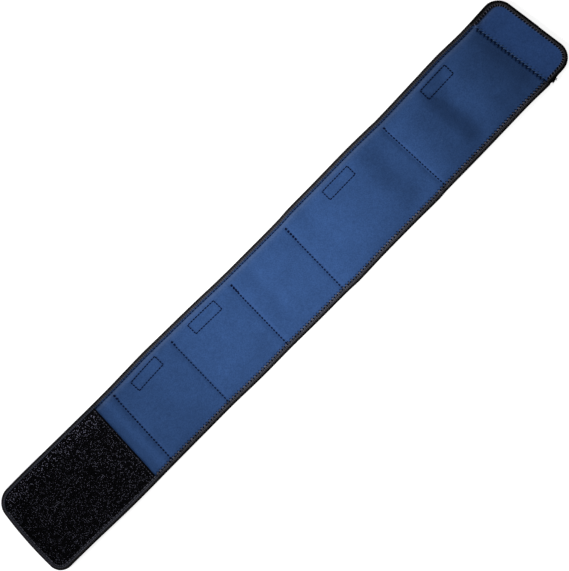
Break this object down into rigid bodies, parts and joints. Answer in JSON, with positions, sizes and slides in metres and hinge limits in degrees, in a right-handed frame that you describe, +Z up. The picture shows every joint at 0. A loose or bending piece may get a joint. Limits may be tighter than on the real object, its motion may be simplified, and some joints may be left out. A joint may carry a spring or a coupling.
{
  "type": "weighted compression belt",
  "caption": "Flat stretch waist belt with sewn weight pockets, a hook fastening panel, a slanted end tab joined by a zigzag seam, and folded tape round its edges.",
  "frame": {"origin": "on the surface that the belt lies on, under the middle of its outline", "axes": "+X along the belt from the hook panel to the end tab, +Y across it towards the pocket mouths, +Z up out of the inner face"},
  "size_m": [0.8334, 0.1188, 0.0113],
  "materials": {
    "neoprene": "matte blue knit-faced neoprene",
    "hook_fastener": "matte black hook fastener",
    "binding_tape": "ribbed charcoal folded tape",
    "pack_cloth": "plain grey pack cloth"
  },
  "bodies": {
    "root": {"main_sheet": "neoprene", "pocket_sheet": "neoprene", "end_tab": "neoprene", "hook_panel": "hook_fastener", "edge_binding": "binding_tape", "end_binding": "binding_tape", "weight_pack_1": "pack_cloth", "weight_pack_2": "pack_cloth", "weight_pack_3": "pack_cloth", "weight_pack_4": "pack_cloth", "pocket_closure_1": "hook_fastener", "pocket_closure_2": "hook_fastener", "pocket_closure_3": "hook_fastener", "pocket_closure_4": "hook_fastener"}
  },
  "joints": []
}
